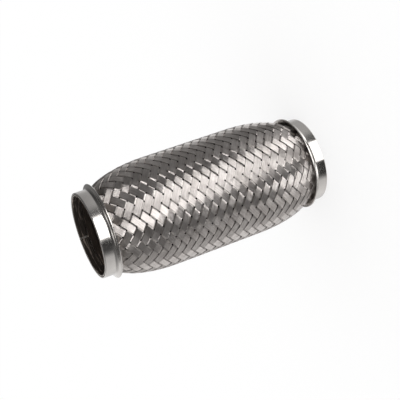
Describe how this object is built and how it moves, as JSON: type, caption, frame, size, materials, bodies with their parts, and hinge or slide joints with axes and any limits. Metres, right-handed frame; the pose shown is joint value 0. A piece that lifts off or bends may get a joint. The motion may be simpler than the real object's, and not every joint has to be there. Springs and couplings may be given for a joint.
{
  "type": "exhaust flex pipe",
  "caption": "Straight exhaust flex pipe: a barrel-shaped woven steel sleeve over a corrugated tube and a strip-wound liner, with a short flared collar at each end.",
  "frame": {"origin": "centre of the outlet rim, on the surface that the part stands on", "axes": "+Z along the pipe axis from the outlet end to the inlet end, -Y towards the side that the picture shows"},
  "size_m": [0.0694, 0.0694, 0.152],
  "materials": {
    "collar_steel": "satin pressed stainless sheet",
    "sleeve_steel": "rolled stainless strip",
    "braid_steel": "bright flat stainless ribbon",
    "bellows_steel": "dull formed stainless tube",
    "liner_steel": "dull wound stainless strip"
  },
  "bodies": {
    "root": {"outlet_collar": "collar_steel", "inlet_collar": "collar_steel", "outlet_sleeve": "sleeve_steel", "inlet_sleeve": "sleeve_steel", "outer_braid": "braid_steel", "bellows": "bellows_steel", "interlock_liner": "liner_steel"}
  },
  "joints": []
}
